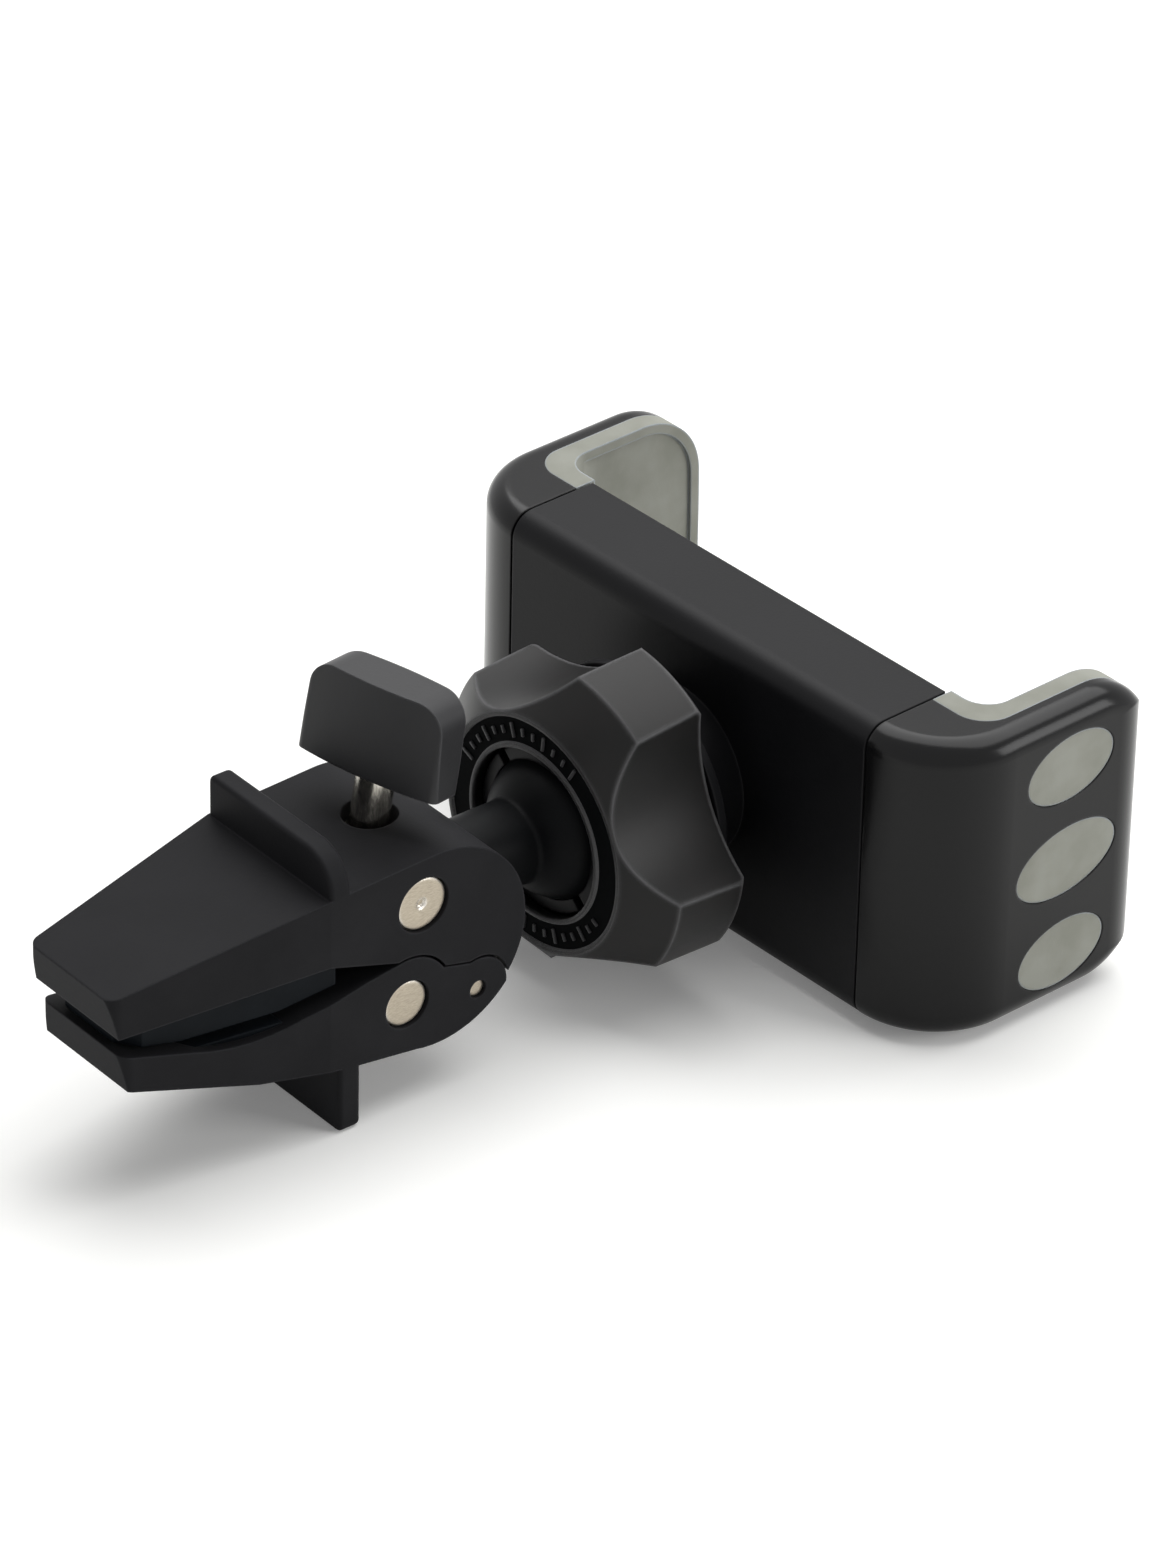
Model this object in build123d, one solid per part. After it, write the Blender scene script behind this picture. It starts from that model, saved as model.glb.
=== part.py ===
# Air vent phone holder: a spring-closed phone cradle, a ball joint with a
# lobed locking nut, and a vent clamp worked by a thumb screw. Millimetres,
# +Z up, +Y out of the phone side, origin at the centre of the phone-side face.

import os
from math import asin, atan2, cos, degrees, hypot, pi, radians, sin, sqrt, tan

from build123d import *

# Running gaps and seats.
running_gap = 0.3
pin_gap = 0.05
seat_gap = 0.1

# Cradle housing.
housing_length = 55.2
housing_height = 36.0
housing_depth = 11.3
housing_edge_radius = 2.7
side_wall = 1.8
end_wall = 1.6
rear_wall = 2.0
cover_thickness = 1.8
cover_rib_width = 1.5
cover_rib_margin = 9.6

# Cover screws: two corner posts also anchor the springs.
post_radius = 2.2
corner_post_inset = 3.5
middle_post_inset = 10.0
cover_screw_head_radius = 1.7
cover_screw_head_height = 1.0
cover_screw_radius = 0.9
cover_screw_length = 6.0

# Rack and pinion that keep both arms moving together.
gear_module = 0.9
pinion_teeth = 12
pressure_angle = 25.0
tooth_addendum = 0.75
tooth_dedendum = 1.1
tooth_backlash = 0.3
gear_thickness = 3.1
pinion_post_radius = 2.0
arm_travel = 10.0

# Slider plates.
slider_tail = 15.0
rack_end = 6.0
neck_height = 6.0
neck_reach = 5.0
spring_slot_height = 4.2
spring_slot_end = 6.5

# Return springs.
spring_radius = 1.25
spring_wire = 0.5
spring_turns = 6
spring_hook = 0.9

# Arms.
arm_gap = 0.3
arm_outer_radius = 10.9
arm_tip_y = 20.7
arm_tip_radius = 5.7
arm_corner_radius = 8.5
arm_tip_bow = 0.5
arm_edge_radius = 2.6
liner_thickness = 2.4
shell_thickness = 3.4
foot_seat_y = -2.1
foot_top_y = 0.6
liner_bend_radius = 3.2
shell_bend_radius = 3.8
liner_rim = 1.2
liner_recess = 0.4
oval_centre_y = 7.8
oval_centre_z = -0.4
oval_end_margin = 6.55
oval_tilt = 6.5
middle_oval = (7.1, 4.1)
outer_oval = (6.1, 3.9)
arm_screw_x = 2.7
arm_screw_spacing = 3.6
arm_screw_head_radius = 1.6
arm_screw_head_height = 1.1
arm_screw_radius = 0.8

# Ball joint, with distances from the cradle's rear face to the ball's centre,
# to the floor of the seat cup and to the nut.
ball_reach = 16.2
ball_radius = 8.5
socket_gap = 0.1
neck_wall = 1.2
socket_wall = 2.3
shoulder_radius = 14.2
shoulder_thickness = 1.0
collet_taper = 1.6
collet_nose_reach = 3.45
collet_cone_length = 3.9
collet_slot = 1.4
collet_slot_length = 11.0
collet_slots = 4
seat_cup_depth = 6.2
seat_cup_gap = 0.2
seat_floor_reach = 4.2

# Locking nut: its lobes stand a little proud of the cradle's long sides.
nut_reach = 7.6
nut_overhang = 0.85
nut_draft = 0.45
nut_side_length = 8.8
nut_front_length = 4.5
nut_front_radius = 13.6
nut_opening_gap = 0.33
nut_ring_recess = 0.35
nut_ring_lip = 0.45
nut_rear_chamfer = 0.45
nut_lobes = 4
nut_lobe_angle = 69.0
scallop_radius = 19.0
scallop_margin = 0.2
lobe_edge_radius = 0.4

# Clamp, in its own frame: origin at the ball, tip towards -Y.
clamp_yaw = -2.6
stem_radius = 4.7
stem_fillet = 0.8
stem_seat_depth = 1.55
spigot_radius = 3.6
spigot_length = 4.6
jaw_half_width = 10.4
tip_half_width = 7.0
taper_start_y = -38.8
jaw_tip_y = -63.9
jaw_tip_z = 6.2
jaw_top_z = 10.2
lip_setback = 1.0
lip_z = 1.45
upper_lip_rear_z = 2.2
lower_tip_y = -62.5
lower_lip = (lower_tip_y, -1.0)
lower_dip = [(-54.5, -2.9), (-48.6, -3.85), (-42.0, -3.0)]
lower_throat = (-34.3, -1.5)
lower_belly = [(-34.8, -11.2), (-47.0, -9.3), (-61.8, -5.3)]
tip_corner_radius = 1.5
jaw_rear = (-25.0, -0.6)
lower_rear_radius = 11.9
lower_rear_step = 0.55
upper_pivot = (-26.9, 5.2)
lower_pivot = (-28.9, -6.2)
hinge_inset = 2.797802
hinge_angle = -54.389148
upper_barrel_radius = 3.15
lower_barrel_radius = 2.75
hinge_pin_radius = 1.05
pivot_lobe_radius = 5.4
hinge_lobe_radius = 3.7
tongue_half_width = 4.5
tongue_radius = 3.2
tongue_root = [(-16.0, 0.0), (-22.5, 0.0)]
upper_fin = (-38.8, 2.6, 15.0)
lower_fin = (-37.6, 2.7)
lower_fin_overhang = 0.7
fin_large_radius = 4.6
fin_small_radius = 0.8
fin_end_radius = 0.5
pin_recess = 0.4
dimple_radius = 0.55
dimple_depth = 0.35
pad_side_margin = 0.8
pad_front_inset = 2.4
pad_rear_reach = 1.3
pad_corner_cut = 2.1
upper_pad_seat_z = 2.9
upper_pad_front_z = -0.9
upper_pad_rear_z = -0.7
upper_pad_sole_z = -1.9
upper_pad_slope = 6.5
lower_pad_seat_z = -4.9
lower_pad_face_z = -3.3
lower_pad_front_y = -55.6
lower_pad_length = 12.0

# Thumb screw and knob, measured along the screw from the upper barrel.
screw_radius = 2.1
screw_end = -16.8
barrel_flat = 2.6
collar_radius = 2.7
collar_height = 1.0
ring_height = 0.8
ring_radius = 2.8
deck_hole_radius = 3.0
knob_bottom = 10.6
knob_top = 21.1
knob_half_length = 8.7
knob_top_half_length = 8.1
knob_end_thickness = 4.2
knob_middle_thickness = 6.0
knob_corner_radius = 3.2
knob_edge_radius = 0.9
knob_turn = 17.0
knob_bore_depth = 6.0

os.makedirs("parts", exist_ok=True)

half_length = housing_length / 2
half_height = housing_height / 2
cavity_x = half_length - end_wall
cavity_z = half_height - side_wall
floor_y = -housing_depth + rear_wall
cover_y = -cover_thickness
gear_rear_y = floor_y + running_gap
gear_front_y = gear_rear_y + gear_thickness
pitch_radius = gear_module * pinion_teeth / 2
rack_tip_z = pitch_radius - tooth_addendum
rack_root_z = pitch_radius + tooth_dedendum
slider_outer_z = cavity_z - running_gap
rack_middle_z = (slider_outer_z + rack_root_z) / 2
neck_outer = rack_middle_z + neck_height / 2
corner_post_x = cavity_x - corner_post_inset
middle_post_x = cavity_x - middle_post_inset
spring_length = corner_post_x - post_radius - spring_slot_end - 2 * spring_hook
arm_x = half_length + arm_gap
outer_x = arm_x + arm_outer_radius
split_x = outer_x - shell_thickness
grip_x = split_x - liner_thickness
ball_y = -housing_depth - ball_reach
seat_floor_y = -housing_depth - seat_floor_reach
neck_radius = ball_radius + socket_gap + neck_wall
collet_radius = ball_radius + socket_gap + socket_wall
collet_nose_radius = collet_radius - collet_taper
collet_nose_y = ball_y - collet_nose_reach
nut_radius = half_height + nut_overhang
nut_opening_radius = collet_nose_radius + nut_opening_gap
nut_rear_y = -housing_depth - nut_reach
nut_shoulder_y = nut_rear_y - nut_side_length
nut_front_y = nut_shoulder_y - nut_front_length
lower_fin_end_z = -half_height - lower_fin_overhang
pad_half_width = tip_half_width - pad_side_margin
oval_spacing = half_height - oval_end_margin
pad_front_y = jaw_tip_y + pad_front_inset
pad_length = taper_start_y + pad_rear_reach - pad_front_y
jaw_rear_radius = lower_rear_radius - lower_rear_step
stem_seat_y = jaw_rear[0] + jaw_rear_radius - stem_seat_depth
spigot_end_y = stem_seat_y - spigot_length


def polar(radius, angle):
    return (radius * cos(radians(angle)), radius * sin(radians(angle)))


def cylinder_y(radius, start, end, x=0.0, z=0.0):
    low = min(start, end)
    length = abs(end - start)
    return Pos(x, low + length / 2, z) * Rot(X=90) * Cylinder(radius, length)


def cylinder_x(radius, half_width, y, z):
    return Pos(0, y, z) * Rot(Y=90) * Cylinder(radius, 2 * half_width)


def block(x0, x1, y0, y1, z0, z1):
    middle = Pos((x0 + x1) / 2, (y0 + y1) / 2, (z0 + z1) / 2)
    return middle * Box(abs(x1 - x0), abs(y1 - y0), abs(z1 - z0))


def turned(points):
    # Solid of revolution about the Y axis from (radius, y) corners.
    face = make_face(Polyline(*points, close=True))
    return revolve(face, axis=Axis.Y)


def side_solid(edges, half_width):
    # Extrudes a closed outline drawn as (y, z) across X, both ways.
    face = make_face(Plane.YZ * edges)
    return extrude(face, amount=half_width, both=True)


def plan_solid(edges, z0, z1):
    return extrude(Pos(0, 0, z0) * make_face(edges), amount=z1 - z0)


# Cradle housing.
def housing_posts(start, end, radius):
    places = [(-corner_post_x, -rack_middle_z), (corner_post_x, rack_middle_z)]
    places += [(-middle_post_x, 0), (middle_post_x, 0)]
    return [cylinder_y(radius, start, end, x, z) for x, z in places]


def neck_window(sign):
    # Opening in an end wall for one slider's neck.
    z0 = sign * -(neck_outer + running_gap)
    z1 = sign * -(neck_outer - neck_height - running_gap)
    x0 = sign * (cavity_x - 1)
    x1 = sign * (half_length + 1)
    return block(x0, x1, floor_y, gear_front_y + running_gap, min(z0, z1), max(z0, z1))


def make_rear_housing():
    shell = block(-half_length, half_length, -housing_depth, 0, -half_height, half_height)
    rear_edges = shell.edges().filter_by(Axis.X).group_by(Axis.Y)[0]
    shell = fillet(rear_edges, housing_edge_radius)
    shell -= block(-cavity_x, cavity_x, floor_y, 1, -cavity_z, cavity_z)
    for post in housing_posts(floor_y - 0.5, cover_y, post_radius):
        shell += post
    shell += cylinder_y(pinion_post_radius, floor_y - 0.5, gear_front_y + 1.5)
    for hole in housing_posts(cover_y - cover_screw_length, 1, cover_screw_radius):
        shell -= hole
    for sign in (1, -1):
        shell -= neck_window(sign)

    shoulder_y = nut_rear_y + running_gap
    cone_start = collet_nose_y + collet_cone_length
    shell += turned([(0, -housing_depth + 0.5), (neck_radius, -housing_depth + 0.5),
                     (neck_radius, shoulder_y + shoulder_thickness),
                     (shoulder_radius, shoulder_y + shoulder_thickness),
                     (shoulder_radius, shoulder_y), (collet_radius, shoulder_y),
                     (collet_radius, cone_start), (collet_nose_radius, collet_nose_y),
                     (0, collet_nose_y)])
    shell -= socket_cavity()
    bore_end = collet_nose_y - 1
    slot_end = collet_nose_y + collet_slot_length
    for i in range(collet_slots // 2):
        cut = block(-collet_radius - 1, collet_radius + 1, bore_end, slot_end,
                    -collet_slot / 2, collet_slot / 2)
        shell -= Rot(Y=45 + 90 * i) * cut
    return shell


def socket_cavity():
    # Bore for the seat cup, then the part of the sphere that holds the ball in.
    radius = ball_radius + socket_gap
    depth = ball_y - collet_nose_y
    mouth = sqrt(radius**2 - depth**2)
    half = radians(degrees(asin(depth / radius)) / 2)
    middle = (radius * cos(half), ball_y - radius * sin(half))
    outline = Curve() + [
        Line((0, seat_floor_y), (radius, seat_floor_y)),
        Line((radius, seat_floor_y), (radius, ball_y)),
        ThreePointArc((radius, ball_y), middle, (mouth, collet_nose_y)),
        Line((mouth, collet_nose_y), (mouth, collet_nose_y - 1)),
        Line((mouth, collet_nose_y - 1), (0, collet_nose_y - 1)),
        Line((0, collet_nose_y - 1), (0, seat_floor_y)),
    ]
    return revolve(make_face(outline), axis=Axis.Y)


def make_front_cover():
    gap = seat_gap
    cover = block(-cavity_x + gap, cavity_x - gap, cover_y, 0, -cavity_z + gap, cavity_z - gap)
    rib_x = half_length - cover_rib_margin
    rib_end = gear_front_y + running_gap
    for z in (-rack_middle_z, rack_middle_z):
        cover += block(-rib_x, rib_x, rib_end, cover_y,
                       z - cover_rib_width / 2, z + cover_rib_width / 2)
    cover += cylinder_y(pinion_post_radius + 1.6, rib_end, cover_y)
    cover -= cylinder_y(pinion_post_radius + seat_gap, rib_end - 1, gear_front_y + 1.8)
    for hole in housing_posts(cover_y - 1, 1, cover_screw_radius + seat_gap):
        cover -= hole
    for hole in housing_posts(-cover_screw_head_height, 1, cover_screw_head_radius + seat_gap):
        cover -= hole
    return cover


def make_cover_screws():
    heads = housing_posts(-cover_screw_head_height, 0, cover_screw_head_radius)
    shafts = housing_posts(cover_y - cover_screw_length + 1, -cover_screw_head_height,
                           cover_screw_radius)
    return Compound([head + shaft for head, shaft in zip(heads, shafts)])


# Gear train.
def involute_point(base, radius):
    roll = sqrt((radius / base)**2 - 1)
    return roll - atan2(roll, 1)


def make_sync_pinion():
    base = pitch_radius * cos(radians(pressure_angle))
    tip = pitch_radius + tooth_addendum
    root = pitch_radius - tooth_dedendum
    half_tooth = (pi * gear_module / 2 - tooth_backlash / 2) / (2 * pitch_radius)
    at_pitch = involute_point(base, pitch_radius)
    flank = [base + (tip - base) * i / 3 for i in range(4)]
    outline = []
    for tooth in range(pinion_teeth):
        middle = 2 * pi * tooth / pinion_teeth
        spread = [half_tooth + at_pitch - involute_point(base, r) for r in flank]
        rising = [(root, -spread[0])] + [(r, -s) for r, s in zip(flank, spread)]
        falling = [(r, -s) for r, s in reversed(rising)]
        outline += [(r * cos(middle + a), r * sin(middle + a)) for r, a in rising + falling]
    face = make_face(Polyline(*outline, close=True))
    gear = Pos(0, gear_front_y, 0) * Rot(X=90) * extrude(face, amount=gear_thickness)
    return gear - cylinder_y(pinion_post_radius + pin_gap, gear_rear_y - 1, gear_front_y + 1)


def make_slider():
    # Lower slider of the right arm: rack on its upper edge, spring slot in its tail.
    shoulder_x = cavity_x - running_gap - arm_travel
    plate = block(-slider_tail, shoulder_x, gear_rear_y, gear_front_y, -slider_outer_z, -rack_root_z)
    plate += block(shoulder_x - 1, arm_x + neck_reach, gear_rear_y, gear_front_y,
                   -neck_outer, -neck_outer + neck_height)
    slot_z = -rack_middle_z
    plate -= block(-slider_tail - 1, -spring_slot_end, gear_rear_y - 1, gear_front_y + 1,
                   slot_z - spring_slot_height / 2, slot_z + spring_slot_height / 2)

    pitch = pi * gear_module
    slope = tan(radians(pressure_angle))
    half_tooth = pitch / 4 - tooth_backlash / 4
    tip_half = half_tooth - tooth_addendum * slope
    root_half = half_tooth + tooth_dedendum * slope
    first = -int((slider_tail - root_half) / pitch - 0.5)
    last = int(rack_end / pitch + 0.5)
    for i in range(first, last):
        x = (i + 0.5) * pitch
        tooth = Polyline((x - root_half, -rack_root_z - 0.2), (x - root_half, -rack_root_z),
                         (x - tip_half, -rack_tip_z), (x + tip_half, -rack_tip_z),
                         (x + root_half, -rack_root_z), (x + root_half, -rack_root_z - 0.2),
                         close=True)
        face = Pos(0, gear_front_y, 0) * Rot(X=90) * make_face(tooth)
        plate += extrude(face, amount=gear_thickness, dir=(0, -1, 0))
    for x, z in arm_screw_places():
        plate -= cylinder_y(arm_screw_radius, gear_rear_y - 1, gear_front_y + 1, x, z)
    return plate


def arm_screw_places():
    return [(arm_x + arm_screw_x, -rack_middle_z - arm_screw_spacing / 2),
            (arm_x + arm_screw_x, -rack_middle_z + arm_screw_spacing / 2)]


def make_slider_screws():
    head_y = foot_seat_y - arm_screw_head_height
    end_y = gear_rear_y + 0.3
    screws = []
    for x, z in arm_screw_places():
        screw = cylinder_y(arm_screw_head_radius, head_y, foot_seat_y - 0.1, x, z)
        screw += cylinder_y(arm_screw_radius, end_y, head_y, x, z)
        screws.append(screw)
    return Compound(screws)


def make_return_spring():
    # Coil between the housing's corner post and the closed end of the slider's slot.
    start = -corner_post_x + post_radius + spring_hook
    middle_y = (gear_rear_y + gear_front_y) / 2
    helix = Helix(spring_length / spring_turns, spring_length, spring_radius)
    wire_radius = spring_wire / 2
    section = Pos(spring_radius, 0, 0) * Rot(X=90) * RegularPolygon(wire_radius, 6)
    coil = sweep(section, path=helix, is_frenet=True)
    return Pos(start, middle_y, -rack_middle_z) * Rot(Y=90) * coil


# Arms.
def arm_outline():
    corner = (outer_x - arm_tip_radius, arm_tip_y)
    low = (arm_x, -housing_depth)
    bend = (outer_x, -housing_depth + arm_outer_radius)
    inner_bend = (grip_x - liner_bend_radius, foot_top_y)
    return Curve() + [
        RadiusArc(low, bend, -arm_outer_radius),
        Line(bend, (outer_x, arm_tip_y - arm_tip_radius)),
        RadiusArc((outer_x, arm_tip_y - arm_tip_radius), corner, -arm_tip_radius),
        Line(corner, (grip_x, arm_tip_y)),
        Line((grip_x, arm_tip_y), (grip_x, foot_top_y + liner_bend_radius)),
        RadiusArc((grip_x, foot_top_y + liner_bend_radius), inner_bend, liner_bend_radius),
        Line(inner_bend, (arm_x, foot_top_y)),
        Line((arm_x, foot_top_y), low),
    ]


def arm_side_face(inset=0.0):
    # Side view of an arm: straight edges, large corners and a slightly bowed tip.
    z = half_height - inset
    tip = arm_tip_y - inset
    shoulder = tip - arm_tip_bow
    low = -housing_depth - 5
    outline = Curve() + [
        Line((low, -z), (shoulder, -z)),
        ThreePointArc((shoulder, -z), (tip, 0), (shoulder, z)),
        Line((shoulder, z), (low, z)),
        Line((low, z), (low, -z)),
    ]
    face = make_face(outline)
    return fillet(face.vertices().group_by(Axis.X)[-1], arm_corner_radius - inset)


def arm_side_solid(inset=0.0):
    face = Plane.YZ * arm_side_face(inset)
    return Pos(arm_x - 5, 0, 0) * extrude(face, amount=arm_outer_radius + 5)


def liner_zone(offset=0.0):
    # Everything on the phone side of the line where shell and liner meet.
    x = split_x - offset
    y = foot_seat_y + offset
    radius = shell_bend_radius + offset
    outline = Curve() + [
        Line((arm_x - 20, y), (x - radius, y)),
        RadiusArc((x - radius, y), (x, y + radius), -radius),
        Line((x, y + radius), (x, arm_tip_y + 10)),
        Line((x, arm_tip_y + 10), (arm_x - 20, arm_tip_y + 10)),
        Line((arm_x - 20, arm_tip_y + 10), (arm_x - 20, y)),
    ]
    return plan_solid(outline, -half_height - 1, half_height + 1)


def ovals(grow, x0, x1):
    shapes = []
    for row in (-1, 0, 1):
        long, short = middle_oval if row == 0 else outer_oval
        face = Rot(Z=oval_tilt) * Ellipse(long + grow, short + grow)
        place = Plane(origin=(x0, oval_centre_y, oval_centre_z + row * oval_spacing),
                      x_dir=(0, 1, 0), z_dir=(1, 0, 0))
        shapes.append(extrude(place * face, amount=x1 - x0))
    return shapes


def make_arm():
    # Both views are extruded, rounded along their outer edges and intersected.
    plan = plan_solid(arm_outline(), -half_height, half_height)
    plan = fillet(plan.edges().filter_by(is_back_edge), arm_edge_radius)
    side = arm_side_solid()
    rim = side.faces().sort_by(Axis.X)[-1].edges().filter_by(
        lambda e: e.center().Y > -housing_depth - 4)
    return plan & fillet(rim, arm_edge_radius)


def is_back_edge(edge):
    box = edge.bounding_box()
    level = abs(abs(edge.center().Z) - half_height) < 0.01 and box.size.Z < 0.01
    return level and box.max.X > outer_x - 0.01


def make_arm_pieces():
    arm = make_arm()
    zone = liner_zone()
    shell = arm - zone
    liner = arm & zone
    for plug in ovals(0, split_x - 0.5, outer_x - 0.1):
        liner += plug
    for window in ovals(seat_gap / 2, split_x - 1, outer_x + 1):
        shell -= window

    shell -= block(arm_x - 1, arm_x + neck_reach + seat_gap, gear_rear_y, gear_front_y,
                   -neck_outer, -neck_outer + neck_height)
    for x, z in arm_screw_places():
        shell -= cylinder_y(arm_screw_radius + seat_gap, gear_rear_y, 0, x, z)
        shell -= cylinder_y(arm_screw_head_radius + seat_gap,
                            foot_seat_y - arm_screw_head_height, 0, x, z)

    recess = liner_zone(liner_thickness - liner_recess) & arm_side_solid(liner_rim)
    recess -= block(arm_x - 30, arm_x + liner_rim, -50, 50, -50, 50)
    liner -= recess
    return shell, liner


# Ball seat and nut.
def make_ball_seat():
    seat_radius = ball_radius - seat_cup_gap
    cup_start = seat_floor_y - running_gap
    cup = cylinder_y(seat_radius, cup_start - seat_cup_depth, cup_start)
    return cup - Pos(0, ball_y, 0) * Sphere(ball_radius + socket_gap)


def make_locking_nut():
    cone_start = collet_nose_y + collet_cone_length
    bore = collet_radius + running_gap
    ring_inner = nut_opening_radius + nut_ring_lip
    ring_outer = nut_front_radius - nut_ring_lip
    ring_y = nut_front_y + nut_ring_recess
    body = turned([(bore, nut_rear_y), (nut_radius - nut_rear_chamfer, nut_rear_y),
                   (nut_radius, nut_rear_y - nut_rear_chamfer),
                   (nut_radius - nut_draft, nut_shoulder_y),
                   (nut_front_radius, nut_front_y), (ring_outer, nut_front_y),
                   (ring_outer - 0.2, ring_y), (ring_inner + 0.2, ring_y),
                   (ring_inner, nut_front_y), (nut_opening_radius, nut_front_y),
                   (nut_opening_radius, collet_nose_y), (bore, cone_start)])
    return body & extrude(Plane.XZ * nut_plan(), amount=-2 * nut_front_y, both=True)


def nut_plan():
    # Four lobes left between round scallops, with eased corners.
    plan = Circle(nut_radius)
    centre = nut_front_radius + scallop_margin + scallop_radius
    for i in range(nut_lobes):
        x, z = polar(centre, nut_lobe_angle + 180 / nut_lobes + 360 / nut_lobes * i)
        plan -= Pos(x, z) * Circle(scallop_radius)
    return fillet(plan.vertices(), lobe_edge_radius)


# Clamp.
clamp_place = Pos(0, ball_y, 0) * Rot(Z=clamp_yaw)
screw_lean = degrees(atan2(upper_pivot[0] - lower_pivot[0], upper_pivot[1] - lower_pivot[1]))
screw_place = Pos(0, *upper_pivot) * Rot(X=-screw_lean)


def screw_cylinder(radius, start, end):
    return screw_place * Pos(0, 0, (start + end) / 2) * Cylinder(radius, end - start)


def jaw_plan(tip_width, tip_y, low, high):
    # Plan form of a jaw: parallel sides, then a taper to a rounded tip.
    rear = jaw_rear[0] + lower_rear_radius + 1
    outline = Polyline((-jaw_half_width, rear), (jaw_half_width, rear),
                       (jaw_half_width, taper_start_y), (tip_width, tip_y),
                       (-tip_width, tip_y), (-jaw_half_width, taper_start_y), close=True)
    solid = extrude(Pos(0, 0, low) * make_face(outline), amount=high - low)
    tip_edges = solid.edges().filter_by(Axis.Z).group_by(Axis.Y)[0]
    return fillet(tip_edges, tip_corner_radius)


def fin(place, large_side):
    y, thickness, end_z = place
    inner_z = 0.0
    solid = block(-jaw_half_width, jaw_half_width, y, y + thickness, min(inner_z, end_z),
                  max(inner_z, end_z))
    uprights = solid.edges().filter_by(Axis.Y)
    end = -1 if end_z > 0 else 0
    outer = uprights.group_by(Axis.Z)[end].sort_by(Axis.X)
    large = outer[-1] if large_side > 0 else outer[0]
    small = outer[0] if large_side > 0 else outer[-1]
    solid = fillet(large, fin_large_radius)
    spot = small.center()
    again = solid.edges().filter_by(Axis.Y).sort_by_distance(spot)[0]
    solid = fillet(again, fin_small_radius)
    return fillet(solid.edges().filter_by(Axis.X).group_by(Axis.Z)[end], fin_end_radius)


def around(centre, radius, angle):
    dy, dz = polar(radius, angle)
    return (centre[0] + dy, centre[1] + dz)


hinge = around(jaw_rear, lower_rear_radius - hinge_inset, hinge_angle)


def circles_meet(first, first_radius, second, second_radius):
    # The meeting point of two circles that lies to the left of the line between them.
    dy = second[0] - first[0]
    dz = second[1] - first[1]
    apart = hypot(dy, dz)
    along = (first_radius**2 - second_radius**2 + apart**2) / (2 * apart)
    across = sqrt(first_radius**2 - along**2)
    return (first[0] + (along * dy - across * dz) / apart,
            first[1] + (along * dz + across * dy) / apart)


def seam_curve(grow, rear_radius):
    # The line where the lower jaw's lobes meet the upper jaw, front to rear.
    pivot = pivot_lobe_radius + grow
    near = hinge_lobe_radius + grow
    end = circles_meet(jaw_rear, rear_radius, hinge, near)
    start = around(lower_pivot, pivot, 102)
    dip = around(lower_pivot, pivot, 30)
    rise = around(hinge, near, 105)
    curves = [ThreePointArc(start, around(lower_pivot, pivot, 66), dip), Line(dip, rise),
              ThreePointArc(rise, around(hinge, near, 52), end)]
    return start, curves, end


def make_upper_jaw():
    start, seam, end = seam_curve(running_gap, jaw_rear_radius)
    top = around(jaw_rear, jaw_rear_radius, 93)
    lip = (jaw_tip_y + lip_setback, lip_z)
    throat = (taper_start_y, upper_lip_rear_z)
    crest = (taper_start_y, jaw_top_z)
    outline = Curve() + [
        Line(lip, throat),
        Line(throat, start),
        *seam,
        ThreePointArc(end, around(jaw_rear, jaw_rear_radius, 20), top),
        Line(top, crest),
        Line(crest, (jaw_tip_y, jaw_tip_z)),
        Line((jaw_tip_y, jaw_tip_z), lip),
    ]
    jaw = side_solid(outline, jaw_half_width)
    jaw += cylinder_x(tongue_radius, tongue_half_width, *hinge)
    tongue = Polyline(around(hinge, tongue_radius, 180), around(hinge, tongue_radius, 0),
                      *tongue_root, close=True)
    jaw += side_solid(tongue, tongue_half_width)
    jaw &= jaw_plan(tip_half_width, jaw_tip_y, -14, 20)
    jaw += fin(upper_fin, 1) - block(-20, 20, -60, 0, -5, 5)
    jaw -= pad_plan(pad_half_width, pad_front_y, pad_length, -5, upper_pad_seat_z)

    jaw -= cylinder_x(upper_barrel_radius + pin_gap, jaw_half_width + 1, *upper_pivot)
    jaw -= cylinder_x(hinge_pin_radius + pin_gap, jaw_half_width + 1, *hinge)
    jaw -= screw_cylinder(deck_hole_radius, 0, knob_bottom)
    jaw -= screw_cylinder(ring_radius + running_gap, -14, 0)
    jaw -= cylinder_y(stem_radius + seat_gap, stem_seat_y, 0)
    jaw -= cylinder_y(spigot_radius + seat_gap, spigot_end_y - seat_gap, 0)
    return jaw


def pad_plan(half_width, front, length, low, high):
    # Pads follow the jaws' taper and have cut front corners.
    grow = (jaw_half_width - tip_half_width) / (taper_start_y - jaw_tip_y) * length
    cut = pad_corner_cut
    rear = front + length
    outline = Polyline((-half_width, front + cut), (cut - half_width, front),
                       (half_width - cut, front), (half_width, front + cut),
                       (half_width + grow, rear), (-half_width - grow, rear), close=True)
    return extrude(Pos(0, 0, low) * make_face(outline), amount=high - low)


def make_upper_pad():
    # A wedge: its sole follows the lower jaw.
    pad = pad_plan(pad_half_width, pad_front_y, pad_length, -5, upper_pad_seat_z)
    rear = pad_front_y + pad_length
    side = Polyline((pad_front_y, upper_pad_seat_z), (pad_front_y, upper_pad_front_z),
                    (pad_front_y + upper_pad_slope, upper_pad_sole_z),
                    (rear - upper_pad_slope, upper_pad_sole_z), (rear, upper_pad_rear_z),
                    (rear, upper_pad_seat_z), close=True)
    return pad & side_solid(side, jaw_half_width)


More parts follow.
